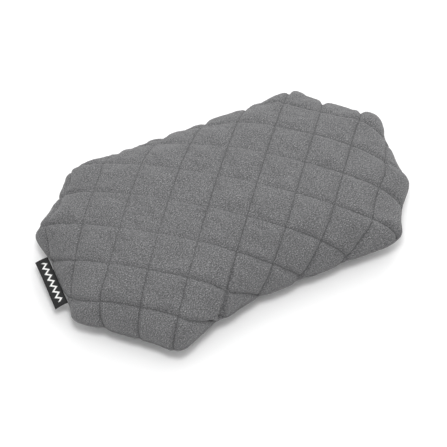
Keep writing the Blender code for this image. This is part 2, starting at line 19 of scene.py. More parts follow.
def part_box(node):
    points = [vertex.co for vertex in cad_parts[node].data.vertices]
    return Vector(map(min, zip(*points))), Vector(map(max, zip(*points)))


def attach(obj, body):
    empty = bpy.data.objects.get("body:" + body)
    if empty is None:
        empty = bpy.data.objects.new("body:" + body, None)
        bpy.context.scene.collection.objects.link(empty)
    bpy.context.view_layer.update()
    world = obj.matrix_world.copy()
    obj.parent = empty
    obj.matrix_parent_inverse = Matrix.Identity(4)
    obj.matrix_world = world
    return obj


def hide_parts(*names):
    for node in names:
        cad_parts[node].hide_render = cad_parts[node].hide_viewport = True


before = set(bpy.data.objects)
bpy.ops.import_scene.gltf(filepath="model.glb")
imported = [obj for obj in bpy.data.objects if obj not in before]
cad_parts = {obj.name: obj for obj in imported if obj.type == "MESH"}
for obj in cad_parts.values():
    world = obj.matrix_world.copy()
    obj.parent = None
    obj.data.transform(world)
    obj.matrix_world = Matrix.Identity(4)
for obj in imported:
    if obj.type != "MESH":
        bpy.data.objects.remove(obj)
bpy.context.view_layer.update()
rng = np.random.default_rng(7)

# %% [markdown]
# ## The plan of the seam
# Seen from above, the seam between top and underside has nine corners, with a slack waist on its
# near side. A cut pattern has such corners, and air rounds them. Each corner is a quadratic curve, and
# the outline is then read as a radius for each direction, so later steps can ask for any point.

# %% Outline
CORNERS = np.array(
    [
        (0.190, 0.169),  # zipped side, far end
        (-0.184, 0.169),  # zipped side, label end
        (-0.272, 0.085),
        (-0.275, -0.078),
        (-0.160, -0.191),
        (-0.066, -0.155),  # the waist of the near side
        (0.222, -0.143),
        (0.275, -0.058),
        (0.290, 0.072),
    ]
)
CORNER_REACH = 0.030
SEAM_Z = 0.030
CROWN_Z = 0.104
TURN = 2 * math.pi


def heading(angle):
    """The unit vector (cos a, sin a) of a direction in the plan."""
    return np.stack([np.cos(angle), np.sin(angle)], axis=-1)


def rounded_outline(corners, reach):
    """Corner c becomes (1-t)^2 p + 2t(1-t) c + t^2 q, with p and q at reach along its sides."""
    t = np.linspace(0, 1, 13)[None, :, None]
    before = np.roll(corners, 1, 0) - corners
    after = np.roll(corners, -1, 0) - corners
    start = corners + reach * before / np.linalg.norm(before, axis=1)[:, None]
    end = corners + reach * after / np.linalg.norm(after, axis=1)[:, None]
    rounds = (1 - t) ** 2 * start[:, None] + 2 * t * (1 - t) * corners[:, None] + t**2 * end[:, None]
    ring = rounds.reshape(-1, 2)
    side = np.roll(ring, -1, 0) - ring
    fine = np.linspace(0, 1, 24, endpoint=False)[None, :, None]
    return (ring[:, None] + fine * side[:, None]).reshape(-1, 2)


OUTLINE = rounded_outline(CORNERS, CORNER_REACH)
outline_angle = np.arctan2(OUTLINE[:, 1], OUTLINE[:, 0]) % TURN
outline_radius = np.hypot(*OUTLINE.T)
in_order = np.argsort(outline_angle)


def plan_radius(angle):
    """Distance from the middle to the seam in a direction, from the outline's points."""
    return np.interp(angle % TURN, outline_angle[in_order], outline_radius[in_order], period=TURN)


print("plan, m:", OUTLINE.min(0).round(3), OUTLINE.max(0).round(3))

# %% [markdown]
# ## The inflated top
# Air lifts the top into a low dome: steep at the seam, nearly level in the middle. Along each
# direction the distance from the middle falls as a cosine and the height rises as a sine, both to
# a power a little under one. Corners fade towards the crown, as they do on a real cushion, because
# fabric can't hold a ridge without a seam. The quilting was sewn while the fabric lay flat, so each
# point also needs its place on the flat fabric: its distance from the crown along the surface.

# %% Dome
PLAN_POWER = 0.966
RISE_POWER = 0.896
DIRECTIONS = np.linspace(0, TURN, 721)
RISE = np.linspace(0, math.pi / 2, 241)[::-1]


def smooth_radius(harmonics):
    """The plan's radius with only its slowest waves round the circle kept."""
    waves = np.fft.rfft(plan_radius(DIRECTIONS[:-1]))
    waves[harmonics + 1 :] = 0
    radius = np.fft.irfft(waves, 720)
    return np.append(radius, radius[0])


soft_radius = smooth_radius(4)
share = np.cos(RISE)[None, :] ** PLAN_POWER
keep = share**1.6
dome_reach = (soft_radius[:, None] * (1 - keep) + plan_radius(DIRECTIONS)[:, None] * keep) * share
dome_rise = SEAM_Z + (CROWN_Z - SEAM_Z) * np.sin(RISE)[None, :] ** RISE_POWER + 0 * dome_reach
steps = np.hypot(np.diff(dome_reach, axis=1), np.diff(dome_rise, axis=1))
walked = np.concatenate([np.zeros((721, 1)), np.cumsum(steps, axis=1)], axis=1)
FLAT_RADIUS = walked[:, -1]
EVEN = np.linspace(0, 1, 201)
reach_table = np.array([np.interp(EVEN, w / w[-1], r) for w, r in zip(walked, dome_reach)])
rise_table = np.array([np.interp(EVEN, w / w[-1], z) for w, z in zip(walked, dome_rise)])


def lookup(table, angle, along):
    """Bilinear value of a table over direction and share of the way from crown to seam."""
    row = (angle % TURN) / TURN * 720
    column = np.clip(along, 0, 1) * 200
    i = np.minimum(row.astype(int), 719)
    j = np.minimum(column.astype(int), 199)
    u, v = row - i, column - j
    low = table[i, j] * (1 - u) + table[i + 1, j] * u
    high = table[i, j + 1] * (1 - u) + table[i + 1, j + 1] * u
    return low * (1 - v) + high * v


def flat_radius(angle):
    return np.interp(angle % TURN, DIRECTIONS, FLAT_RADIUS)


def drape(flat):
    """A point of the flat fabric goes as far along the dome from the crown, in its direction."""
    angle = np.arctan2(flat[:, 1], flat[:, 0])
    along = np.hypot(*flat.T) / flat_radius(angle)
    reach = lookup(reach_table, angle, along)
    rise = lookup(rise_table, angle, along)
    return np.stack([reach * np.cos(angle), reach * np.sin(angle), rise], axis=1)


print("flat panel is", round(2 * FLAT_RADIUS.max(), 3), "m long before it is inflated")

# %% [markdown]
# ## A mesh that follows the quilting
# The squares are about 59 mm and lie slantwise. If the mesh is laid out on the same slant, each
# stitched line runs along mesh edges and can be held down exactly. Points on a square lattice
# inside the flat outline, with the outline's own points, are joined by a Delaunay triangulation,
# and pairs of triangles are then merged into squares again.

# %% Lattice
SQUARE = 0.0594
PER_SQUARE = 14
QUILT_TURN = math.radians(-38.0)
QUILT_START = np.array([-0.104, 0.186])
QUILT_ALONG = np.array([math.cos(QUILT_TURN), math.sin(QUILT_TURN)])
QUILT_ACROSS = np.array([math.sin(QUILT_TURN), -math.cos(QUILT_TURN)])
STEP = SQUARE / PER_SQUARE


def to_squares(flat):
    """Flat place counted in squares along the two sewn directions."""
    away = flat - QUILT_START
    return np.stack([away @ QUILT_ALONG, away @ QUILT_ACROSS], axis=1) / SQUARE


def line_distance(squares):
    """How far, in squares, a point is from the nearest line of each direction."""
    return np.abs(squares - np.round(squares))


counts = np.arange(-8 * PER_SQUARE, 14 * PER_SQUARE + 1) / PER_SQUARE
lattice = np.stack(np.meshgrid(counts, counts, indexing="ij"), axis=-1).reshape(-1, 2)
lattice_flat = QUILT_START + SQUARE * (lattice[:, :1] * QUILT_ALONG + lattice[:, 1:] * QUILT_ACROSS)
lattice_angle = np.arctan2(lattice_flat[:, 1], lattice_flat[:, 0])
inside = np.hypot(*lattice_flat.T) < flat_radius(lattice_angle) - 0.55 * STEP
lattice_flat = lattice_flat[inside]

rim_walk = np.concatenate([[0], np.cumsum(np.hypot(*np.diff(OUTLINE[in_order], axis=0).T))])
RIM_COUNT = 2 * round(rim_walk[-1] / STEP / 2)
rim_angle = np.interp(
    np.linspace(0, rim_walk[-1], RIM_COUNT, endpoint=False), rim_walk, outline_angle[in_order]
)
rim_flat = flat_radius(rim_angle)[:, None] * heading(rim_angle)
flat_points = np.concatenate([rim_flat, lattice_flat])
rim_loop = [(k, (k + 1) % RIM_COUNT) for k in range(RIM_COUNT)]
cells = delaunay_2d_cdt([Vector(p) for p in flat_points], rim_loop, [list(range(RIM_COUNT))], 1, 1e-7)
flat_points = np.array([v[:] for v in cells[0]])
cell_faces = cells[2]
print("lattice:", len(flat_points), "points,", len(cell_faces), "triangles,", RIM_COUNT, "on the rim")

# %% [markdown]
# ## Seam waves
# A quilted panel is sewn to the plain underside along its whole edge, and no sewn edge stays a
# clean curve once there is air inside. Two things bend it. Where a quilting line meets the seam,
# the padding is flat and the edge is drawn in, so the edge is gently scalloped. And the air
# pushes each corner of the cut out to a blunt point, while the slack stretches between two
# corners are drawn in. The panel, the rolled seam and the underside all read the same wave, so
# they stay joined. Beside the zipper, whose tape is stiff, the seam hardly moves, and there the
# panel only sinks or swells above it.

# %% Seam wave
ZIP_SPAN = (-0.150, 0.165)
CORNER_OUT = 0.0050
CORNER_LIFT = 0.0020
CORNER_WIDTH = 0.022
SIDE_DRAW = 0.0035
SIDE_SINK = 0.0010
LINE_DRAW = 0.0026
LINE_WIDTH = 0.13  # in squares
STILLED = 0.85  # share of the wave that the zipper takes away
CORNER_DIRECTIONS = np.arctan2(CORNERS[:, 1], CORNERS[:, 0])


def smooth_step(value):
    """0 below 0, 1 above 1, and 3t^2 - 2t^3 between."""
    t = np.clip(value, 0, 1)
    return t * t * (3 - 2 * t)


def gather(angle):
    """Shift outwards and upwards, in metres. With d the way round to the nearest corner and
    p = exp(-(d / CORNER_WIDTH)^2), it is OUT p - DRAW (1 - p) and LIFT p - SINK (1 - p)."""
    between = (np.asarray(angle)[..., None] - CORNER_DIRECTIONS + math.pi) % TURN - math.pi
    way = np.abs(between).min(axis=-1) * plan_radius(angle)
    point = np.exp(-((way / CORNER_WIDTH) ** 2))
    outwards = CORNER_OUT * point - SIDE_DRAW * (1 - point)
    return outwards, CORNER_LIFT * point - SIDE_SINK * (1 - point)


def calm(x, y):
    """1 where the edge is free, falling by STILLED beside the straight zipper."""
    past_start = smooth_step((x - ZIP_SPAN[0] + 0.012) / 0.024)
    before_end = smooth_step((ZIP_SPAN[1] + 0.012 - x) / 0.024)
    return 1 - STILLED * past_start * before_end * smooth_step((y - 0.09) / 0.03)


def seam_wave(angle):
    """Shift of the seam outwards and upwards: gathers, nearness of quilting lines and slow waves."""
    flat = flat_radius(angle)[:, None] * heading(angle)
    near = np.exp(-((line_distance(to_squares(flat)) / LINE_WIDTH) ** 2)).max(axis=1)
    x, y = (plan_radius(angle) * np.cos(angle), plan_radius(angle) * np.sin(angle))
    still = calm(x, y)
    slow = np.sin(9 * angle + 1.3) + 0.6 * np.sin(17 * angle + 0.4)
    drawn_out, drawn_up = gather(angle)
    outwards = (drawn_out - LINE_DRAW * near + 0.0004 * slow) * still
    upwards = (drawn_up + 0.0012 * near + 0.0006 * slow) * still
    return outwards, upwards


def seam_point(angle, upwards=0.0):
    """A point of the waved seam, moved upwards."""
    wave_out, wave_up = seam_wave(angle)
    reach = plan_radius(angle) + wave_out
    return np.stack(
        [reach * np.cos(angle), reach * np.sin(angle), SEAM_Z + wave_up + upwards], axis=1
    )


def edge_fade(reach, angle, depth):
    """1 at the seam, 0 at depth or more inside it."""
    return np.clip(1 - (plan_radius(angle) - reach) / depth, 0, 1)


GATHER_DEPTH = 0.080


def gathered(points):
    """The gathers carried into the panel, fading inwards; beside the zipper the seam stays put."""
    angle = np.arctan2(points[:, 1], points[:, 0])
    reach = np.hypot(points[:, 0], points[:, 1])
    still = calm(plan_radius(angle) * np.cos(angle), plan_radius(angle) * np.sin(angle))
    part = smooth_step(edge_fade(reach, angle, GATHER_DEPTH))
    part *= 1 - (1 - still) * smooth_step(edge_fade(reach, angle, 0.014))
    out, up = gather(angle)
    moved = points.copy()
    moved[:, :2] += heading(angle) * (out * part)[:, None]
    moved[:, 2] += up * part
    return moved


# %% [markdown]
# ## Small tools for meshes
# Every piece ends as a mesh in place at the origin. One helper makes it from arrays, and one more
# freezes whatever its modifiers do.

# %% Mesh tools
def mesh_piece(name, points, faces, smooth=True):
    """An object from an array of points and a list of faces."""
    mesh = bpy.data.meshes.new(name)
    mesh.from_pydata(np.asarray(points).tolist(), [], [list(f) for f in faces])
    mesh.update()
    if smooth:
        mesh.shade_smooth()
    piece = bpy.data.objects.new(name, mesh)
    bpy.context.scene.collection.objects.link(piece)
    return piece


def grid_faces(rows, columns, around_rows=False, around_columns=False):
    """Quads of a grid of points numbered row by row, closed round where asked."""
    r = np.arange(rows if around_rows else rows - 1)[:, None]
    c = np.arange(columns if around_columns else columns - 1)[None, :]
    up, right = (r + 1) % rows, (c + 1) % columns
    quads = [r * columns + c, r * columns + right, up * columns + right, up * columns + c]
    return np.stack([q + 0 * r + 0 * c for q in quads], axis=-1).reshape(-1, 4)


def points_of(mesh):
    values = np.empty(3 * len(mesh.vertices))
    mesh.vertices.foreach_get("co", values)
    return values.reshape(-1, 3)


def set_points(mesh, points):
    mesh.vertices.foreach_set("co", np.ascontiguousarray(points, dtype=np.float32).ravel())
    mesh.update()


def normals_of(mesh):
    values = np.empty(3 * len(mesh.vertices))
    mesh.vertex_normals.foreach_get("vector", values)
    return values.reshape(-1, 3)


def freeze(piece):
    """Replaces the mesh by what its modifiers make of it, and drops them."""
    graph = bpy.context.evaluated_depsgraph_get()
    made = bpy.data.meshes.new_from_object(piece.evaluated_get(graph))
    piece.modifiers.clear()
    piece.data = made
    return piece


def set_uv(mesh, name, per_point):
    """A UV map from one pair of numbers for each vertex."""
    layer = mesh.uv_layers.get(name) or mesh.uv_layers.new(name=name)
    corner = np.empty(len(mesh.loops), dtype=np.int32)
    mesh.loops.foreach_get("vertex_index", corner)
    layer.data.foreach_set("uv", np.asarray(per_point, dtype=np.float32)[corner].ravel())


def thicken(piece, thickness, offset=0):
    """Gives an open sheet its thickness: offset 0 puts it in the middle, -1 on the inside."""
    sheet = piece.modifiers.new("thickness", "SOLIDIFY")
    sheet.thickness = thickness
    sheet.offset = offset
    freeze(piece)


@contextmanager
def editing(piece):
    """The piece's mesh opened for editing, and written back at the end."""
    bm = bmesh.new()
    bm.from_mesh(piece.data)
    yield bm
    bm.to_mesh(piece.data)
    bm.free()


def face_outwards(piece):
    """Turns every face of a closed mesh outwards."""
    with editing(piece) as bm:
        bmesh.ops.recalc_face_normals(bm, faces=bm.faces)
    return piece


# %% [markdown]
# ## Holding the stitches and letting air in
# Real quilting is flat only at its thread. The cloth solver gives that look: the points on the
# sewn lines and on the seam are held a little below the dome, the cloth between them is given a few
# per cent more length than it needs, and a small pressure pushes it out. It puffs, and it wrinkles
# where it is pulled. Stitches lie deep near the seam, where the cover curves, and shallow in the
# slack middle of the label's half.

# %% Quilted panel before the air
flat_angle = np.arctan2(flat_points[:, 1], flat_points[:, 0])
on_rim = np.arange(len(flat_points)) < RIM_COUNT
squares = to_squares(flat_points)
lines_off = line_distance(squares)
on_line = (lines_off.min(axis=1) < 0.3 / PER_SQUARE) & ~on_rim
draped = gathered(drape(flat_points))


def slack_middle(points):
    """1 in the middle of the top, where the lines that run along the pillow hardly show, else 0."""
    across = (points[:, 0] + 0.055) / 0.180
    along = (points[:, 1] - 0.030) / 0.112
    return np.exp(-(across**4) - along**4)


def slack_end(points):
    """1 over the label half, away from its edge, where the cross lines are slack too, else 0."""
    return slack_middle(points) * smooth_step((-0.02 - points[:, 0]) / 0.10)


STITCH_DEPTH = 0.0025
EDGE_DEPTH = 0.0022
PUCKER_DEPTH = 0.0024
PUCKER_REACH = 0.045


def stitch_depth(points, angle):
    """Depth of the sewn lines: most near the seam; long lines are shallow in the middle."""
    reach = np.hypot(points[:, 0], points[:, 1])
    edge = edge_fade(reach, angle, 0.11) ** 1.3
    long_line = lines_off[:, 1] < lines_off[:, 0]
    slack = np.where(long_line, 0.70 * slack_middle(points), 0.45 * slack_end(points))
    return STITCH_DEPTH * (1 - slack) + EDGE_DEPTH * edge


WAIST = math.radians(251)
PLEAT_PITCH = 0.0127
PLEAT_HEIGHT = 0.0066


def waist_folds(points, angle):
    """Pleats along the last cross line before the waist: a cosine beside it, fading from the seam."""
    waist_seam = flat_radius(WAIST) * heading(WAIST)[None, :]
    line = round(float(to_squares(waist_seam)[0, 0]))
    beside = (squares[:, 0] - line) * SQUARE
    away = np.clip(plan_radius(angle) - np.hypot(points[:, 0], points[:, 1]), 0, None)
    near_waist = np.exp(-(((points[:, 0] + 0.055) / 0.036) ** 2)) * (points[:, 1] < 0)
    fold = -np.cos(TURN * beside / PLEAT_PITCH) * np.exp(-((beside / 0.0125) ** 2))
    return PLEAT_HEIGHT * fold * near_waist * np.exp(-away / 0.040)


def puckers(points, angle, off):
    """Wedges where lines run into the seam: wide and deep at the edge, closing at PUCKER_REACH."""
    reach = np.hypot(points[:, 0], points[:, 1])
    near_edge = edge_fade(reach, angle, PUCKER_REACH)
    wide = 0.035 + 0.075 * near_edge
    return PUCKER_DEPTH * near_edge**1.5 * np.exp(-((off / wide[:, None]) ** 2)).max(axis=1)


panel = mesh_piece("quilted_top_panel", draped, cell_faces)
set_uv(panel.data, "flat", flat_points)
outward = normals_of(panel.data)
if outward[:, 2].mean() < 0:
    panel.data.flip_normals()
    outward = -outward
depth = stitch_depth(draped, flat_angle)
jitter = rng.normal(0, 0.00025, len(draped))
start = draped - outward * (depth * on_line)[:, None]
start += outward * (jitter * ~on_line)[:, None]
start[on_rim] = seam_point(flat_angle[on_rim], upwards=0.0015)
set_points(panel.data, start)
print("panel area, m2:", round(sum(f.area for f in panel.data.polygons), 4))

# %% Air and slack
AIR_FRAMES = 22
MOST_MOVE = 0.010


def puff(piece, held, slack, pressure):
    """Cloth with its held points pinned, slack as extra length, and pressure from inside."""
    pins = piece.vertex_groups.new(name="held")
    pins.add(np.flatnonzero(held).tolist(), 1.0, "REPLACE")
    before = points_of(piece.data)
    cloth = piece.modifiers.new("air", "CLOTH")
    setting = cloth.settings
    setting.quality = 6
    setting.mass = 0.02
    setting.tension_stiffness = setting.compression_stiffness = 6
    setting.shear_stiffness = 3
    setting.bending_stiffness = 0.03
    setting.tension_damping = setting.compression_damping = 8
    setting.air_damping = 4
    setting.vertex_group_mass = "held"
    setting.pin_stiffness = 1.0
    setting.shrink_min = -slack
    setting.use_pressure = True
    setting.uniform_pressure_force = pressure
    setting.effector_weights.gravity = 0
    cloth.collision_settings.use_collision = False
    cloth.point_cache.frame_start = 1
    cloth.point_cache.frame_end = AIR_FRAMES
    for number in range(1, AIR_FRAMES + 1):
        bpy.context.scene.frame_set(number)
    freeze(piece)
    bpy.context.scene.frame_set(1)
    move = points_of(piece.data) - before
    length = np.linalg.norm(move, axis=1)
    capped = move * np.minimum(1, MOST_MOVE / np.maximum(length, 1e-9))[:, None]
    set_points(piece.data, before + capped)
    piece.vertex_groups.clear()
    return length


moved = puff(panel, on_line | on_rim, slack=0.035, pressure=9.0)
moved_mm = 1000 * moved
print("air moved the cloth up to", moved_mm.max().round(1), "mm, mean", moved_mm.mean().round(2))

# %% [markdown]
# ## Puckers, and the bladder under the cloth
# At the edge the two layers are sewn together over different lengths, so each quilting line ends in
# a small wedge-shaped hollow, and at the waist the spare cloth stands in short pleats. After that
# the cloth is kept off the air bladder that it covers: a point that has sunk to less than the
# wadding's pressed thickness is pushed out again.

# %% Puckers
PRESSED_QUILT = 0.0012


def keep_off(points, solid, gap):
    """Moves each point that is nearer than gap to a solid, or inside it, out along its surface."""
    tree = BVHTree.FromPolygons([v.co for v in solid.vertices], [p.vertices for p in solid.polygons])
    moved = points.copy()
    count = 0
    for k, point in enumerate(points):
        place, normal, _, away = tree.find_nearest(Vector(point), 0.02)
        if place is None:
            continue
        height = (Vector(point) - place).dot(normal)
        if height < gap:
            moved[k] = point + np.array(normal) * (gap - height)
            count += 1
    return moved, count


airy = points_of(panel.data)
airy -= outward * (puckers(draped, flat_angle, lines_off) * ~on_rim)[:, None]
airy += outward * (waist_folds(draped, flat_angle) * ~on_rim)[:, None]
upper_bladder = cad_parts["bladder_top_sheet"].data
above_weld = ~on_rim & (airy[:, 2] > SEAM_Z + 0.004)
airy[above_weld], lifted = keep_off(airy[above_weld], upper_bladder, PRESSED_QUILT)
set_points(panel.data, airy)
print("points kept off the bladder:", lifted)

# %% [markdown]
# ## Closing the quilt
# The quilt is three layers sewn together: face, wadding and lining, about 6 mm in all. One
# subdivision rounds every puff. Then a smooth lining is carried from the rim back up to the crown,
# 6 mm inside, so the panel is one closed, padded piece. The lining comes after the subdivision,
# because its rings end in a point at the crown, and such a point makes subdivision very slow.

# %% Quilt body
QUILT_THICK = 0.0056
LINING_SHARES = np.array([0.985, 0.93, 0.84, 0.72, 0.58, 0.42, 0.24, 0.08])


def lining_ring(angle, along):
    """The dome at a share of the way from crown to seam, moved inwards by the quilt's thickness."""
    flat = (flat_radius(angle) * along)[:, None] * heading(angle)
    nudge = 1e-3
    side = np.array([[math.cos(nudge), math.sin(nudge)], [-math.sin(nudge), math.cos(nudge)]])
    here = drape(flat)
    normal = np.cross(drape(flat @ side) - here, drape(flat * (1 - nudge)) - here)
    normal *= np.sign(normal[:, 2:]) / np.linalg.norm(normal, axis=1)[:, None]
    return gathered(here) - QUILT_THICK * normal


def close_quilt(bm):
    """Adds the rim, the lining's rings and a point at the crown to the open panel's mesh."""
    uv = bm.loops.layers.uv["flat"]
    ring = sorted(
        {v for e in bm.edges if e.is_boundary for v in e.verts}, key=lambda v: math.atan2(v.co.y, v.co.x)
    )
    rim = np.array([v.co for v in ring])
    angle = np.arctan2(rim[:, 1], rim[:, 0])
    radial = np.stack([np.cos(angle), np.sin(angle), 0 * angle], axis=1)
    rows = [rim - 0.0035 * radial - [0, 0, 0.0002], rim - QUILT_THICK * radial + [0, 0, 0.0010]]
    rows += [lining_ring(angle, np.full(len(angle), s)) for s in LINING_SHARES]
    count = len(ring)
    made = []
    for row in rows:
        inner = [bm.verts.new(p) for p in row]
        made += [
            bm.faces.new([ring[k], inner[k], inner[(k + 1) % count], ring[(k + 1) % count]])
            for k in range(count)
        ]
        ring = inner
    crown = bm.verts.new((0, 0, CROWN_Z - QUILT_THICK))
    made += [bm.faces.new([ring[k], crown, ring[(k + 1) % count]]) for k in range(count)]
    for face in made:
        face.smooth = True
        for loop in face.loops:
            loop[uv].uv = loop.vert.co.xy
    bmesh.ops.recalc_face_normals(bm, faces=bm.faces)


with editing(panel) as merged:
    bmesh.ops.join_triangles(
        merged,
        faces=merged.faces,
        angle_face_threshold=math.radians(30),
        angle_shape_threshold=math.radians(25),
    )
rounding = panel.modifiers.new("rounding", "SUBSURF")
rounding.levels = rounding.render_levels = 1
freeze(panel)


def flat_of(mesh):
    """The flat place of each vertex, read back from the map on its faces' corners."""
    corner = np.empty(len(mesh.loops), dtype=np.int32)
    mesh.loops.foreach_get("vertex_index", corner)
    place = np.empty(2 * len(corner), dtype=np.float32)
    mesh.uv_layers["flat"].data.foreach_get("uv", place)
    flat = np.zeros((len(mesh.vertices), 2))
    flat[corner] = place.reshape(-1, 2)
    return flat


def paint_crease_shade(mesh):
    """Painted shade of the sewn furrows: 1 on a line that runs across, less on long lines in the middle.
    """
    points = points_of(mesh)
    off = line_distance(to_squares(flat_of(mesh))) * SQUARE
    strength = np.stack([1 - 0.6 * slack_end(points), 0.95 - 0.9 * slack_middle(points)], axis=1)
    shade = (strength * np.exp(-((off / 0.0012) ** 2))).max(axis=1)
    mesh.attributes.new("painted_crease_shade", "FLOAT", "POINT").data.foreach_set("value", shade.astype(np.float32))


# Painted shade: the sewn furrows get a point attribute that darkens the knit there, standing in for their
# shadow.
paint_crease_shade(panel.data)
with editing(panel) as opened:
    close_quilt(opened)
print("quilted top:", len(panel.data.polygons), "faces")

# %% [markdown]
# ## The plain underside
# Below the seam the cover slopes inwards to the ground and then lies flat. The slope is true under
# each straight side, because the zipper and the valve sit in it. The surface is rings of the plan
# at falling shares, with slack ripples everywhere but beside the zipper and the valve. Two rings
# and two spokes are the edges of the zipper's slot, so it opens by leaving faces out, and the
# valve's port by drawing the edge of a gap onto a circle. No Boolean is needed. The sheet then
# becomes one millimetre thick.

# %% Underside
BASE_SHARE = 0.84
REST_SHARE = 0.76
SLOPE_SHARE = 0.862  # the slope is straight from here outwards
SLOT_SHARES = (0.9743, 0.9386)
SLOT_ENDS = (0.143, -0.118)
WALL_SHARES = np.concatenate(
    [
        [0.9985, 0.9917],
        np.linspace(*SLOT_SHARES, 4),
        np.linspace(SLOT_SHARES[1], SLOPE_SHARE, 7)[1:],
        np.linspace(0.85, REST_SHARE, 6),
    ]
)
FLOOR_SHARES = np.linspace(0.70, 0.05, 11)
SHARES = np.concatenate([WALL_SHARES, FLOOR_SHARES])
SPOKES = 480
PORT_RADIUS = 0.0098
PORT_REACH = 0.0115  # points nearer than this open the port
BEND_RISE = 0.0041
UNDERSIDE_FABRIC = 0.0010
ZIP_DROP = 0.0110
VALVE_DROP = 0.0305


def wall_height(share):
    """Straight slope down to SLOPE_SHARE, then a soft curve into the flat."""
    slope = SEAM_Z * (share - BASE_SHARE) / (1 - BASE_SHARE)
    t = np.clip((share - REST_SHARE) / (SLOPE_SHARE - REST_SHARE), 0, 1)
    bend = BEND_RISE * t**2.2
    return np.where(share >= SLOPE_SHARE, slope, bend)


def wall_place(first, second, drop):
    """A place on the sloping wall: X along a straight side, Y down the wall, Z out of it."""
    a, b = Vector(CORNERS[first]), Vector(CORNERS[second])
    side = (b - a).normalized()
    outward_2d = Vector((side.y, -side.x))
    if outward_2d.dot(a) < 0:
        outward_2d.negate()
    run = outward_2d.dot(a) * (1 - BASE_SHARE)
    down = Vector((-outward_2d.x * run, -outward_2d.y * run, -SEAM_Z)).normalized()
    level = Vector((outward_2d.x, outward_2d.y, 0))
    normal = (level - down * down.dot(level)).normalized()
    place = Matrix((down.cross(normal), down, normal)).transposed().to_4x4()
    middle = (a + b) / 2
    place.translation = Vector((middle.x, middle.y, SEAM_Z)) + down * drop
    return place


ZIP_PLACE = wall_place(1, 0, ZIP_DROP)
VALVE_PLACE = wall_place(7, 8, VALVE_DROP)

spoke_angle = np.linspace(0, TURN, SPOKES, endpoint=False)
slot_angles = np.arctan2(CORNERS[0, 1] * np.mean(SLOT_SHARES), np.array(SLOT_ENDS))
slot_spokes = np.round(slot_angles / TURN * SPOKES).astype(int)
spoke_angle[slot_spokes] = slot_angles


def underside_points():
    """Rings at each share, drawn to the waved seam at the top, rippled where nothing is mounted."""
    wave_out, wave_up = seam_wave(spoke_angle)
    a, s = np.meshgrid(spoke_angle, SHARES)
    reach = plan_radius(spoke_angle)[None, :] * s
    x, y = reach * np.cos(a), reach * np.sin(a)
    by_zip = (1 - calm(x, y)) / STILLED
    by_valve = smooth_step(
        (0.045 - np.hypot(x - VALVE_PLACE.translation.x, y - VALVE_PLACE.translation.y)) / 0.015
    )
    free = 1 - np.maximum(by_zip, by_valve)
    whole_wall = np.clip((s - 0.86) / (0.9917 - 0.86), 0, 1)
    top_only = np.clip((s - 0.976) / 0.015, 0, 1)
    top = free * whole_wall + (1 - free) * top_only
    folds = np.sin(26 * a + 2 * np.sin(3 * a)) + 0.7 * np.sin(47 * a + 1.0)
    band = np.clip((s - 0.78) / 0.08, 0, 1) * np.clip((1.0 - s) / 0.05, 0, 1)
    grow = 1 + (0.0009 * folds * band * free + wave_out[None, :] * top) / reach
    lift = wave_up[None, :] * top + 0.0004 * (folds + 1.7) * band * free
    return np.stack([x * grow, y * grow, wall_height(s) + lift], axis=-1)


def open_port(points, faces):
    """Leaves out the faces over the port and draws the gap's edge onto its circle."""
    local = (points - np.array(VALVE_PLACE.translation)) @ np.array(VALVE_PLACE.to_3x3())
    away = np.hypot(local[:, 0], local[:, 1])
    near = (np.abs(local[:, 2]) < 0.004) & (away < PORT_REACH)
    gone = near[faces].any(axis=1) & (away[faces].mean(axis=1) < PORT_REACH + 0.0003)
    edge = np.intersect1d(faces[gone], faces[~gone])
    pull = PORT_RADIUS / away[edge]
    local[edge, :2] *= pull[:, None]
    local[edge, 2] = 0
    points[edge] = local[edge] @ np.array(VALVE_PLACE.to_3x3()).T + np.array(VALVE_PLACE.translation)
    return points, faces[~gone]


under_points = underside_points().reshape(-1, 3)
under_faces = grid_faces(len(SHARES), SPOKES, around_columns=True)
ring_of = np.repeat(np.arange(len(SHARES) - 1), SPOKES)
spoke_of = np.tile(np.arange(SPOKES), len(SHARES) - 1)
first_ring = int(np.flatnonzero(np.isclose(SHARES, SLOT_SHARES[0]))[0])
last_ring = int(np.flatnonzero(np.isclose(SHARES, SLOT_SHARES[1]))[0])
in_slot = (ring_of >= first_ring) & (ring_of < last_ring)
in_slot &= (spoke_of >= slot_spokes[0]) & (spoke_of < slot_spokes[1])
under_points, under_faces = open_port(under_points, under_faces[~in_slot])
middle = len(under_points)
under_points = np.concatenate([under_points, [[0, 0, 0]]])
inner = (len(SHARES) - 1) * SPOKES + np.arange(SPOKES)
fan = [[middle, a, b] for a, b in zip(inner, np.roll(inner, -1))]
underside = mesh_piece("plain_underside_panel", under_points, under_faces.tolist() + fan)
with editing(underside) as loose:
    bmesh.ops.delete(loose, geom=[v for v in loose.verts if not v.link_faces], context="VERTS")
    bmesh.ops.recalc_face_normals(loose, faces=loose.faces)
    if sum(f.normal.z * f.calc_area() for f in loose.faces) > 0:
        bmesh.ops.reverse_faces(loose, faces=loose.faces)
thicken(underside, UNDERSIDE_FABRIC, offset=-1)
set_uv(underside.data, "flat", points_of(underside.data)[:, :2])

# %% [markdown]
# ## Rolled seam
# Top and underside are sewn face to face and turned, so their edge is a narrow roll. It is a small
# round profile carried along the waved seam, a little thicker and thinner as the fabric bunches.

# %% Rolled seam
def tube(path, radius, sides, closed):
    """Circles of the given radius across a path, on frames turned as little as possible."""
    path = np.asarray(path)
    ahead = np.roll(path, -1, 0) - np.roll(path, 1, 0) if closed else np.gradient(path, axis=0)
    ahead /= np.linalg.norm(ahead, axis=1)[:, None]
    upright = np.array([0, 0, 1.0])
    across = np.cross(ahead, upright)
    across /= np.maximum(np.linalg.norm(across, axis=1), 1e-9)[:, None]
    second = np.cross(across, ahead)
    t = np.linspace(0, TURN, sides, endpoint=False)
    circle = np.cos(t)[None, :, None] * across[:, None] + np.sin(t)[None, :, None] * second[:, None]
    radius = np.broadcast_to(radius, len(path))
    return path[:, None] + radius[:, None, None] * circle


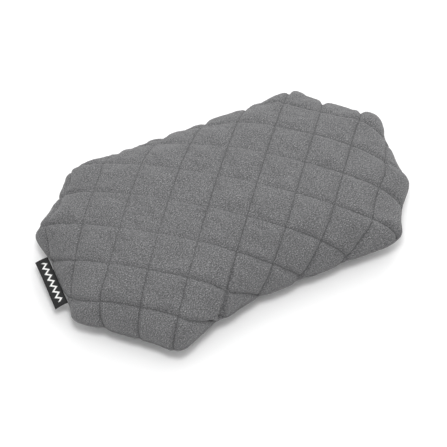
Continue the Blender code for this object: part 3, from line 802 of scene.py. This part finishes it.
SEAM_ROLL = 0.00125
ROLL_STEPS = 900
ROLL_SIDES = 8
roll_angle = np.linspace(0, TURN, ROLL_STEPS, endpoint=False)
roll_radius = SEAM_ROLL * (1 + 0.10 * np.sin(61 * roll_angle) + 0.06 * np.sin(143 * roll_angle))
roll = tube(seam_point(roll_angle), roll_radius, ROLL_SIDES, closed=True)
roll_faces = grid_faces(ROLL_STEPS, ROLL_SIDES, around_rows=True, around_columns=True)
seam_roll = mesh_piece("rolled_seam", roll.reshape(-1, 3), roll_faces)
face_outwards(seam_roll)
set_uv(seam_roll.data, "flat", points_of(seam_roll.data)[:, :2])
print("rolled seam:", len(seam_roll.data.polygons), "faces")

# %% [markdown]
# ## Woven label
# The maker's label is one satin ribbon, folded in two, with its cut ends caught in the seam. The
# profile goes out, round the fold and back, and is carried along the label's length. It droops a
# little, and its free edge has a slow wave. The white motif is woven in, so it is drawn by the
# material on the ribbon's own map. It is a plain zigzag.

# %% Label
LABEL_LENGTH = 0.086
LABEL_REACH = 0.0210
LABEL_GAP = 0.0011
LABEL_RIBBON = 0.00045
LABEL_ALONG = -0.0045
LABEL_DROOP = 0.0040


def label_surface():
    """Out along the top, half a turn at the fold, back below; droop grows with the square of reach."""
    a, b = CORNERS[3], CORNERS[2]
    side = (b - a) / np.linalg.norm(b - a)
    outward_2d = np.array([-side[1], side[0]])
    middle = (a + b) / 2 + LABEL_ALONG * side
    bend = LABEL_GAP / 2
    out = np.linspace(0.0013, LABEL_REACH - bend, 16)
    turn = np.linspace(math.pi / 2, -math.pi / 2, 9)[1:-1]
    x = np.concatenate([out, out[-1] + bend * np.cos(turn), out[::-1]])
    z = np.concatenate([0 * out + bend, bend * np.sin(turn), 0 * out - bend])
    gone = np.concatenate([[0], np.cumsum(np.hypot(np.diff(x), np.diff(z)))])
    u = np.linspace(-0.5, 0.5, 61)
    x, z, gone = (np.broadcast_to(v[None, :], (61, len(v))) for v in (x, z, gone))
    u = np.broadcast_to(u[:, None], x.shape)
    grip = (x / LABEL_REACH) ** 2
    edge_wave = 0.0011 * np.sin(5.2 * u + 0.6)
    near_corner = 0.0016 * (u < 0) * (2 * u) ** 2
    drop = (edge_wave - LABEL_DROOP - near_corner) * grip
    pinch = np.clip(1 - x / 0.004, 0, 1)
    height = SEAM_Z + z * (1 - 0.35 * pinch) + drop
    flat = middle + (u * LABEL_LENGTH)[..., None] * side + x[..., None] * outward_2d
    ends = middle + np.array([[-0.5], [0.5]]) * LABEL_LENGTH * side
    drawn, raised = seam_wave(np.arctan2(ends[:, 1], ends[:, 0]))
    flat += (drawn[0] * (0.5 - u) + drawn[1] * (0.5 + u))[..., None] * outward_2d
    height += raised[0] * (0.5 - u) + raised[1] * (0.5 + u)
    points = np.concatenate([flat, height[..., None]], axis=-1)
    return points, np.stack([u + 0.5, gone / gone.max()], axis=-1), float(gone.max())


label_points, label_uv, label_cut = label_surface()
label_faces = grid_faces(*label_points.shape[:2])
label = mesh_piece("woven_ribbon_label", label_points.reshape(-1, 3), label_faces)
set_uv(label.data, "ribbon", label_uv.reshape(-1, 2))
thicken(label, LABEL_RIBBON)
if sum(f.normal.z * f.area for f in label.data.polygons if f.center.z > SEAM_Z - 0.0005) < 0:
    label.data.flip_normals()
print("label ribbon is cut", round(1000 * label_cut, 1), "mm long before it is folded")

# %% [markdown]
# ## Care label
# A white satin strip is caught in the same seam and hangs down the underside. It is a grid with
# one side along the seam and the other down the wall, a little proud of it, and its end curls off.

# %% Care label
CARE_SATIN = 0.0003


def care_strip(rows=25, columns=19):
    """Width along the side, length down the wall, and a lift that grows as the square of length."""
    place = wall_place(2, 3, 0)
    low, high = (np.array(corner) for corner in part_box("care_label"))
    width = high[1] - low[1]
    across = (low[1] + high[1]) / 2
    length = (high[2] - low[2]) / abs(place.to_3x3().col[1].z)
    v, u = np.meshgrid(np.linspace(0, 1, rows), np.linspace(-0.5, 0.5, columns), indexing="ij")
    along = (across - place.translation.y) / place.to_3x3().col[0].y
    proud = 0.0010 + 0.0022 * v**2 + 0.0003 * np.sin(9 * u) * v
    local = np.stack([along + u * width, 0.0008 + v * length, proud], axis=-1)
    points = local @ np.array(place.to_3x3()).T + np.array(place.translation)
    angle = np.arctan2(points[..., 1], points[..., 0])
    drawn, raised = seam_wave(angle.ravel())
    wall_share = 1 - 0.5 * v
    points[..., :2] += heading(angle) * (drawn.reshape(angle.shape) * wall_share)[..., None]
    points[..., 2] += raised.reshape(angle.shape) * wall_share
    return points, (width, length)


care_points, care_size = care_strip()
care = mesh_piece("care_label_strip", care_points.reshape(-1, 3), grid_faces(*care_points.shape[:2]))
thicken(care, CARE_SATIN)
face_outwards(care)
set_uv(care.data, "flat", points_of(care.data)[:, :2])
print("care label, mm:", [round(1000 * float(v), 1) for v in care_size])

# %% [markdown]
# ## Zipper teeth
# A coil zipper's teeth are one nylon wire wound flat for each side. Each turn is a flattened loop
# that reaches the middle, where the two rows mesh half a pitch apart. One wire path with a round
# profile gives a whole row; real teeth of this size repeat every 1.3 mm or so.

# %% Coils
COIL_PITCH = 0.0014
COIL_SPAN = (-0.1148, 0.1398)
WIRE_RADIUS = 0.00027
WIRE_SIDES = 5


def coil_row(name, side):
    """x climbs one pitch a turn while the wire circles a flat loop beside the middle line."""
    turns = (COIL_SPAN[1] - COIL_SPAN[0]) / COIL_PITCH
    t = np.linspace(0, turns * TURN, int(turns * 10))
    lean = 0.25 * COIL_PITCH * np.sin(t)
    x = COIL_SPAN[0] + COIL_PITCH * t / TURN + lean + (0.5 * COIL_PITCH if side > 0 else 0)
    y = side * (0.00138 - 0.00092 * np.cos(t))
    z = -0.00020 + 0.00048 * np.sin(t)
    path = np.stack([np.clip(x, *COIL_SPAN) - ZIP_PLACE.translation.x, y, z], axis=1)
    rings = tube(path, WIRE_RADIUS, WIRE_SIDES, closed=False).reshape(-1, 3)
    faces = grid_faces(len(path), WIRE_SIDES, around_columns=True).tolist()
    first, last = range(WIRE_SIDES), range(len(rings) - WIRE_SIDES, len(rings))
    piece = mesh_piece(name, rings, faces + [list(first)[::-1], list(last)])
    piece.data.transform(ZIP_PLACE)
    return face_outwards(piece)


coil_upper = coil_row("coil_teeth_upper", -1)
coil_lower = coil_row("coil_teeth_lower", 1)
print("coil rows:", len(coil_upper.data.polygons) + len(coil_lower.data.polygons), "faces")

# %% [markdown]
# ## Materials
# Colours are picked as sRGB hex and turned to linear once. One helper adds a node with its settings
# and links, and everything below is built with it. Pattern sizes are real: the knit's stitches are
# about 1 mm, and the melange flecks are single fibres that gather into spots of 1 to 2 mm.

# %% Node tools
def linear(hex_colour):
    """sRGB hex to a linear colour with alpha."""
    parts = [int(hex_colour[k : k + 2], 16) / 255 for k in (1, 3, 5)]
    return [p / 12.92 if p <= 0.04045 else ((p + 0.055) / 1.055) ** 2.4 for p in parts] + [1.0]


def node(material, kind, inputs=(), output=0, **settings):
    """Adds a node and gives one output; inputs maps a socket to a value or another's output."""
    made = material.node_tree.nodes.new(kind)
    for key, value in settings.items():
        setattr(made, key, value)
    for socket, value in dict(inputs).items():
        if isinstance(value, bpy.types.NodeSocket):
            material.node_tree.links.new(value, made.inputs[socket])
        else:
            made.inputs[socket].default_value = value
    return made.outputs[output]


def surface(name, **inputs):
    """A Principled material and its shader node, with the named sockets set."""
    material = bpy.data.materials.new(name)
    material.use_nodes = True
    shader = material.node_tree.nodes["Principled BSDF"]
    for key, value in inputs.items():
        shader.inputs[key.replace("_", " ")].default_value = value
    return material, shader


def join(material, shader, socket, value):
    material.node_tree.links.new(value, shader.inputs[socket])


def ramp(material, factor, stops):
    """A colour ramp from (position, hex) stops."""
    made = material.node_tree.nodes.new("ShaderNodeValToRGB")
    material.node_tree.links.new(factor, made.inputs[0])
    elements = made.color_ramp.elements
    while len(elements) < len(stops):
        elements.new(0.5)
    for element, (position, colour) in zip(elements, stops):
        element.position = position
        element.color = linear(colour)
    return made.outputs[0]


def maths(material, operation, a, b=0.0):
    return node(material, "ShaderNodeMath", {0: a, 1: b}, operation=operation)


def weighted(material, *parts):
    """The sum of value times share over pairs of a value and its share."""
    total = 0.0
    for value, share in parts:
        total = maths(material, "ADD", total, maths(material, "MULTIPLY", value, share))
    return total


def split(material, place):
    """The first two numbers of a vector."""
    return [node(material, "ShaderNodeSeparateXYZ", {0: place}, output=k) for k in (0, 1)]


def mix(material, amount, colour, shade):
    """A colour moved towards a hex shade by an amount."""
    inputs = {0: amount, 6: colour, 7: linear(shade)}
    return node(material, "ShaderNodeMix", inputs, output=2, data_type="RGBA")


def noise(material, place, scale, detail=2.0, roughness=0.5):
    inputs = {"Vector": place, "Scale": scale, "Detail": detail, "Roughness": roughness}
    return node(material, "ShaderNodeTexNoise", inputs)


def per_metre(material, source, x, y, z=0.0, turn=0.0):
    """Coordinates in metres multiplied to cycles per metre, after an optional turn about Z."""
    return node(
        material, "ShaderNodeMapping", {0: source, 2: (0, 0, turn), 3: (x, y, z)}, vector_type="POINT"
    )


def bump(material, height, distance, strength=1.0):
    return node(material, "ShaderNodeBump", {"Strength": strength, "Distance": distance, "Height": height})


# %% [markdown]
# ## Heather knit
# The face is a brushed polyester knit of mixed dark and light fibres. That gives three things to
# the eye: fine flecks, slow clouds where one yarn is lighter, and the ribbed shine of the knit's
# columns. The quilting thread is a darker grey. Its dashes lie in the valleys, drawn from the same
# count of squares that shaped the panel. The valleys also get painted shade: a darker grey, led by
# the panel's crease attribute, stands in for the shadow in the sewn furrows.

# %% Heather knit
def sewn_dashes(material, place):
    """1 on the quilting thread: near a whole count of squares, for the first part of each stitch."""
    x, y = split(material, place)
    counts = []
    for way in (QUILT_ALONG, QUILT_ACROSS):
        both = weighted(material, (x, float(way[0] / SQUARE)), (y, float(way[1] / SQUARE)))
        counts.append(maths(material, "ADD", both, float(-(QUILT_START @ way) / SQUARE)))
    marks = []
    for count, run in (counts, counts[::-1]):
        away = maths(material, "PINGPONG", count, 0.5)
        on_thread = maths(material, "LESS_THAN", away, THREAD_WIDTH / SQUARE / 2)
        stitch = maths(material, "FRACT", maths(material, "MULTIPLY", run, SQUARE / STITCH))
        in_dash = maths(material, "LESS_THAN", stitch, DASH_SHARE)
        marks.append(maths(material, "MULTIPLY", on_thread, in_dash))
    return maths(material, "MAXIMUM", *marks)


def knit_material(name, tones, painted_furrow_shade, thread):
    """Melange colour and knit bump, with painted shade in the furrows and dashes of quilting thread."""
    material, shader = surface(
        name, Roughness=0.95, Sheen_Weight=0.12, Sheen_Roughness=0.5, Specular_IOR_Level=0.15
    )
    place = node(material, "ShaderNodeUVMap", uv_map="flat")
    fleck_at = per_metre(material, place, 520, 640, 1, turn=QUILT_TURN)
    fleck = noise(material, fleck_at, 1.0, 1.5, 0.7)
    yarn_at = per_metre(material, place, 170, 800, 1, turn=QUILT_TURN + 0.2)
    yarn = noise(material, yarn_at, 1.0)
    cloud = noise(material, per_metre(material, place, 30, 30, 1), 1.0)
    colour = ramp(material, weighted(material, (fleck, 0.72), (yarn, 0.22), (cloud, 0.06)), tones)
    painted_crease_shade = node(material, "ShaderNodeAttribute", output="Fac", attribute_name="painted_crease_shade")
    # Painted shade from the crease attribute darkens the furrows; the dashes are the thread's own colour.
    for shade, amount, share in ((painted_furrow_shade, painted_crease_shade, 0.42), (thread, sewn_dashes(material, place), 0.6)):
        colour = mix(material, maths(material, "MULTIPLY", amount, share), colour, shade)
    rib_at = per_metre(material, place, 1, 1, 1, turn=QUILT_TURN)
    rib = {"Vector": rib_at, "Scale": 140.0, "Distortion": 1.5, "Detail": 1.0, "Detail Scale": 2.0}
    columns = node(material, "ShaderNodeTexWave", rib, wave_type="BANDS", bands_direction="X")
    height = weighted(material, (columns, 0.4), (fleck, 1.0))
    join(material, shader, "Base Color", colour)
    join(material, shader, "Normal", bump(material, height, 0.0003, 0.8))
    return material


STITCH = 0.0034
DASH_SHARE = 0.74
THREAD_WIDTH = 0.00080
HEATHER_TONES = [(0.32, "#414142"), (0.45, "#5c5c5d"), (0.54, "#6f6f70"), (0.68, "#9c9c9d")]
# The third colour, #3a3a3b, is painted shade for the furrows; the fourth is the quilting thread.
HEATHER = knit_material("brushed_heather_knit", HEATHER_TONES, "#3a3a3b", "#454546")
print("heather knit:", len(HEATHER.node_tree.nodes), "nodes")

# %% [markdown]
# ## Plain weave, ribbon, tape and coatings
# The other fabrics are plain weaves: two sets of threads crossing, so two sine waves multiplied.
# What changes is the thread's size, how much it shines and its colour.

# %% Plain weaves
THREAD_RELIEF = 0.00015


def weave_material(name, tones, spacing, roughness):
    """Crossed threads at a spacing in metres, with a slow change of tone."""
    material, shader = surface(name, Roughness=roughness, Specular_IOR_Level=0.3)
    place = node(material, "ShaderNodeTexCoord", output="Object")
    wave = {"Vector": place, "Scale": 1 / spacing / TURN, "Distortion": 0.6, "Detail": 1.0}
    waves = [node(material, "ShaderNodeTexWave", wave, bands_direction=way) for way in ("X", "Y")]
    threads = maths(material, "MULTIPLY", *waves)
    tone = noise(material, place, 260.0, 4.0, 0.7)
    mixed = weighted(material, (tone, 0.7), (noise(material, place, 14.0), 0.3))
    join(material, shader, "Base Color", ramp(material, mixed, tones))
    join(material, shader, "Normal", bump(material, threads, THREAD_RELIEF, 0.7))
    return material


PLAIN = weave_material("plain_weave_polyester", [(0.35, "#5e5e5f"), (0.65, "#828283")], 0.0009, 0.85)
TAPE = weave_material("herringbone_zip_tape", [(0.3, "#2c2c2d"), (0.7, "#3d3d3e")], 0.0006, 0.85)
COATED = weave_material("tpu_coated_polyester", [(0.3, "#7c7f83"), (0.7, "#8d9094")], 0.0005, 0.45)
SATIN = weave_material("printed_care_satin", [(0.3, "#e8e8e6"), (0.7, "#f6f6f4")], 0.0003, 0.5)

# %% Ribbon label
RIBBON, ribbon_shader = surface("black_satin_ribbon", Roughness=0.55, Specular_IOR_Level=0.35)
strip = node(RIBBON, "ShaderNodeUVMap", uv_map="ribbon")
strip_x, strip_y = split(RIBBON, strip)
zigzag = maths(RIBBON, "PINGPONG", maths(RIBBON, "MULTIPLY", strip_x, 8.0), 0.5)
zig_line = maths(RIBBON, "ADD", maths(RIBBON, "MULTIPLY", zigzag, 0.34), 0.155)


def within(a, b, distance):
    """1 where two values on the ribbon are nearer than a distance."""
    apart = maths(RIBBON, "ABSOLUTE", maths(RIBBON, "SUBTRACT", a, b))
    return maths(RIBBON, "LESS_THAN", apart, distance)


zig_mark = maths(RIBBON, "MULTIPLY", within(strip_y, zig_line, 0.048), within(strip_x, 0.5, 0.42))
rib = node(RIBBON, "ShaderNodeTexWave", {"Vector": strip, "Scale": 22.0}, bands_direction="X")
black = ramp(RIBBON, rib, [(0.0, "#0d0d0e"), (1.0, "#1b1b1c")])
join(RIBBON, ribbon_shader, "Base Color", mix(RIBBON, zig_mark, black, "#e9e9e7"))
join(RIBBON, ribbon_shader, "Normal", bump(RIBBON, rib, 0.0002, 0.6))

# %% [markdown]
# ## Plastics and metal
# Moulded parts are never one flat tone: the mould leaves a fine grain, and handling polishes it.
# A small noise moves the roughness and the height a little.

# %% Moulded and painted parts
def moulded_material(name, colour, roughness, grain):
    """One colour with a fine grain in roughness and height; grain is the speck size in metres."""
    material, shader = surface(name, Base_Color=linear(colour))
    speck = noise(material, node(material, "ShaderNodeTexCoord", output="Object"), 1 / grain, 3.0)
    rough = maths(material, "ADD", maths(material, "MULTIPLY", speck, 0.16), roughness - 0.08)
    join(material, shader, "Roughness", rough)
    join(material, shader, "Normal", bump(material, speck, 0.00004, 0.5))
    return material


VALVE_PLASTIC = moulded_material("moulded_tpu", "#3b3c3f", 0.45, 0.0009)
SILICONE = moulded_material("moulded_silicone", "#dcdcd8", 0.5, 0.0012)
NYLON = moulded_material("nylon_coil_wire", "#2a2a2b", 0.38, 0.0007)
ENAMEL = moulded_material("black_enamelled_zinc", "#232324", 0.32, 0.0008)

# %% [markdown]
# ## Dressing the pieces
# Each new piece rides on the pillow's body and stands for the plain solids it covers. The exact
# parts that stay, such as the valve and the slider, get the finishes above.

# %% Dress
dressed = [
    (panel, HEATHER, ["cover_top_face", "quilt_batting", "quilt_lining"], "heather_grey_knit"),
    (underside, PLAIN, ["cover_underside"], "plain_grey_polyester"),
    (seam_roll, PLAIN, ["perimeter_seam"], "seam_thread"),
    (label, RIBBON, ["woven_label"], "black_woven_ribbon"),
    (care, SATIN, ["care_label"], "white_care_satin"),
    (coil_upper, NYLON, ["zipper_coil_upper"], "nylon_coil"),
    (coil_lower, NYLON, ["zipper_coil_lower"], "nylon_coil"),
]
for piece, finish, stood_for, slot in dressed:
    piece.data.materials.clear()
    piece.data.materials.append(finish)
    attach(piece, "pillow")
    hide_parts(*stood_for)

kept = {
    COATED: ["bladder_top_sheet", "bladder_bottom_sheet", "baffle_near", "baffle_far"],
    TAPE: ["zipper_tape_upper", "zipper_tape_lower"],
    ENAMEL: [
        "zipper_slider",
        "zipper_pull",
        "zipper_top_stop_upper",
        "zipper_top_stop_lower",
        "zipper_bottom_stop",
    ],
    VALVE_PLASTIC: ["valve_body", "valve_port_eyelet", "valve_collar", "valve_cap"],
    SILICONE: ["valve_flap"],
}
for finish, names in kept.items():
    for name in names:
        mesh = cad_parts[name].data
        mesh.materials.clear()
        mesh.materials.append(finish)
print("dressed", len(dressed), "new pieces and", sum(map(len, kept.values())), "exact parts")

# %% [markdown]
# ## Floor, light and camera
# The pillow lies on a white sweep under soft lamps in a white room that is brighter behind it to
# the right, so the near left is a little darker and the shadow stays tight at its edge.
# A long lens from well above keeps its proportions plain.

# %% Stage
def aim(thing, at):
    """Turns a lamp or camera so that it looks at a point with its top upwards."""
    back = (thing.location - Vector(at)).normalized()
    right = Vector((0, 0, 1)).cross(back).normalized()
    thing.matrix_world = Matrix.Translation(thing.location) @ Matrix(
        (right, back.cross(right), back)
    ).transposed().to_4x4()


FLOOR, floor_shader = surface("white_paper_sweep", Base_Color=linear("#fbfbfb"), Roughness=0.9)
paper = noise(FLOOR, node(FLOOR, "ShaderNodeTexCoord", output="Object"), 40.0)
join(FLOOR, floor_shader, "Roughness", maths(FLOOR, "ADD", maths(FLOOR, "MULTIPLY", paper, 0.05), 0.87))
FLOOR_HALF = 30.0
FLOOR_DROP = 0.0002  # clear of the underside, so the two don't flicker
floor_corners = [(-1, -1), (1, -1), (1, 1), (-1, 1)]
floor_points = [(FLOOR_HALF * x, FLOOR_HALF * y, -FLOOR_DROP) for x, y in floor_corners]
floor = mesh_piece("floor", floor_points, [[0, 1, 2, 3]], smooth=False)
floor.data.materials.append(FLOOR)


def lamp(name, place, size, power):
    """A square soft lamp, turned to the pillow."""
    light = bpy.data.lights.new(name, "AREA")
    light.shape = "SQUARE"
    light.size = size
    light.energy = power
    made = bpy.data.objects.new(name, light)
    bpy.context.scene.collection.objects.link(made)
    made.location = place
    aim(made, (0, 0, 0))


lamp("overhead_lamp", (-0.35, -0.75, 2.9), 0.8, 34)
lamp("far_right_softbox", (1.7, 1.9, 1.9), 1.8, 27)
BRIGHT_SIDE = (0.50, 0.75, 0.43)
DIMMEST = 0.40
BRIGHTEST = 1.10
world = bpy.data.worlds.new("white_room")
world.use_nodes = True
world.node_tree.nodes["Background"].inputs[0].default_value = (1, 1, 1, 1)
toward = node(world, "ShaderNodeTexCoord", output="Generated")
inputs = {0: toward, 1: BRIGHT_SIDE}
facing = node(world, "ShaderNodeVectorMath", inputs, output="Value", operation="DOT_PRODUCT")
inputs = {"Value": facing, "From Min": -1.0, "To Min": DIMMEST, "To Max": BRIGHTEST}
strength = node(world, "ShaderNodeMapRange", inputs)
join(world, world.node_tree.nodes["Background"], "Strength", strength)
bpy.context.scene.world = world
bpy.context.scene.view_settings.view_transform = "Standard"

CAMERA_TURN = math.radians(23.9)
CAMERA_LIFT = math.radians(55.14)
CAMERA_AWAY = 3.46
lens = bpy.data.cameras.new("long_lens")
lens.lens = 184.9
lens.shift_x = -0.0057
lens.shift_y = 0.0132
lens.clip_end = 40
camera = bpy.data.objects.new("camera", lens)
bpy.context.scene.collection.objects.link(camera)
camera.location = CAMERA_AWAY * Vector(
    (
        -math.sin(CAMERA_TURN) * math.cos(CAMERA_LIFT),
        -math.cos(CAMERA_TURN) * math.cos(CAMERA_LIFT),
        math.sin(CAMERA_LIFT),
    )
)
aim(camera, (0, 0, 0))
bpy.context.scene.camera = camera
print("camera stands", CAMERA_AWAY, "m away")
